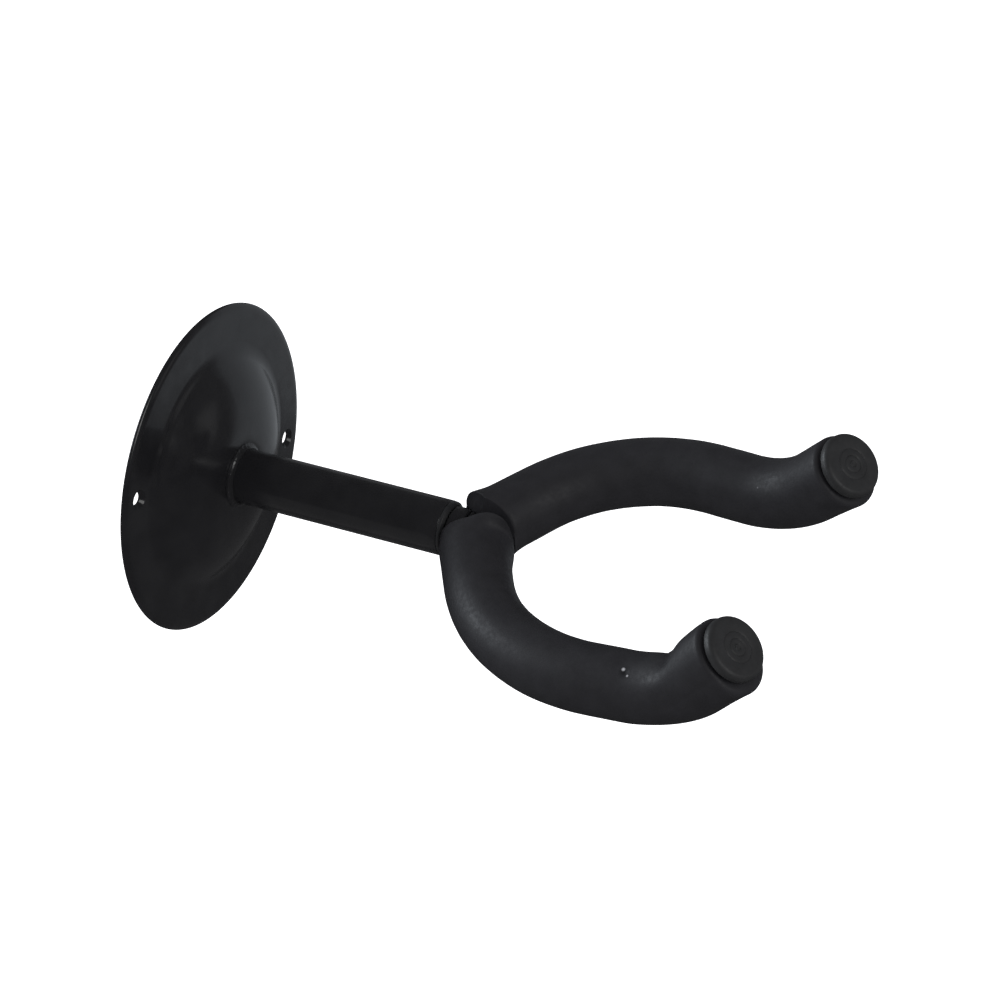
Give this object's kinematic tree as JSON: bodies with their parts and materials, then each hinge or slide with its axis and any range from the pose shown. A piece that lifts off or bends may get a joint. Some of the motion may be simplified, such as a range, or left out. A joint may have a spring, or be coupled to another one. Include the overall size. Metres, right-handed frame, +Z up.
{
  "type": "wall guitar hanger",
  "caption": "Round wall plate with a neck tube and a swivelling foam-covered yoke that holds a guitar by its headstock.",
  "frame": {"origin": "centre of the wall plate's back, in the plane of the wall", "axes": "+Y into the wall along the neck tube, -Y out of the wall, +Z up, +X to the right along the line of the two screw holes"},
  "size_m": [0.1015, 0.1919, 0.0966],
  "materials": {
    "gloss_black_paint": "gloss black powder coat",
    "black_nylon": "satin moulded nylon",
    "zinc_steel": "bright zinc plate",
    "white_nylon": "satin",
    "charcoal_foam": "matte closed-cell foam with a fine skin",
    "cap_rubber": "satin moulded rubber"
  },
  "bodies": {
    "wall_bracket": {"wall_plate": "gloss_black_paint", "neck_tube": "gloss_black_paint", "plate_weld": "gloss_black_paint", "front_bush": "black_nylon", "rear_bush": "black_nylon", "wave_washer": "zinc_steel"},
    "swivel_yoke": {"swivel_spindle": "gloss_black_paint", "flat_washer": "zinc_steel", "lock_nut": "zinc_steel", "nut_insert": "white_nylon", "saddle_weld_upper": "gloss_black_paint", "saddle_weld_lower": "gloss_black_paint", "yoke_rod": "gloss_black_paint", "foam_sleeve_left": "charcoal_foam", "foam_sleeve_right": "charcoal_foam", "end_cap_left": "cap_rubber", "end_cap_right": "cap_rubber"}
  },
  "joints": [
    {"name": "yoke_swivel", "type": "hinge", "parent": "wall_bracket", "child": "swivel_yoke", "pos_m": [0, 0, 0], "axis": [0, -1, 0], "continuous": true}
  ]
}
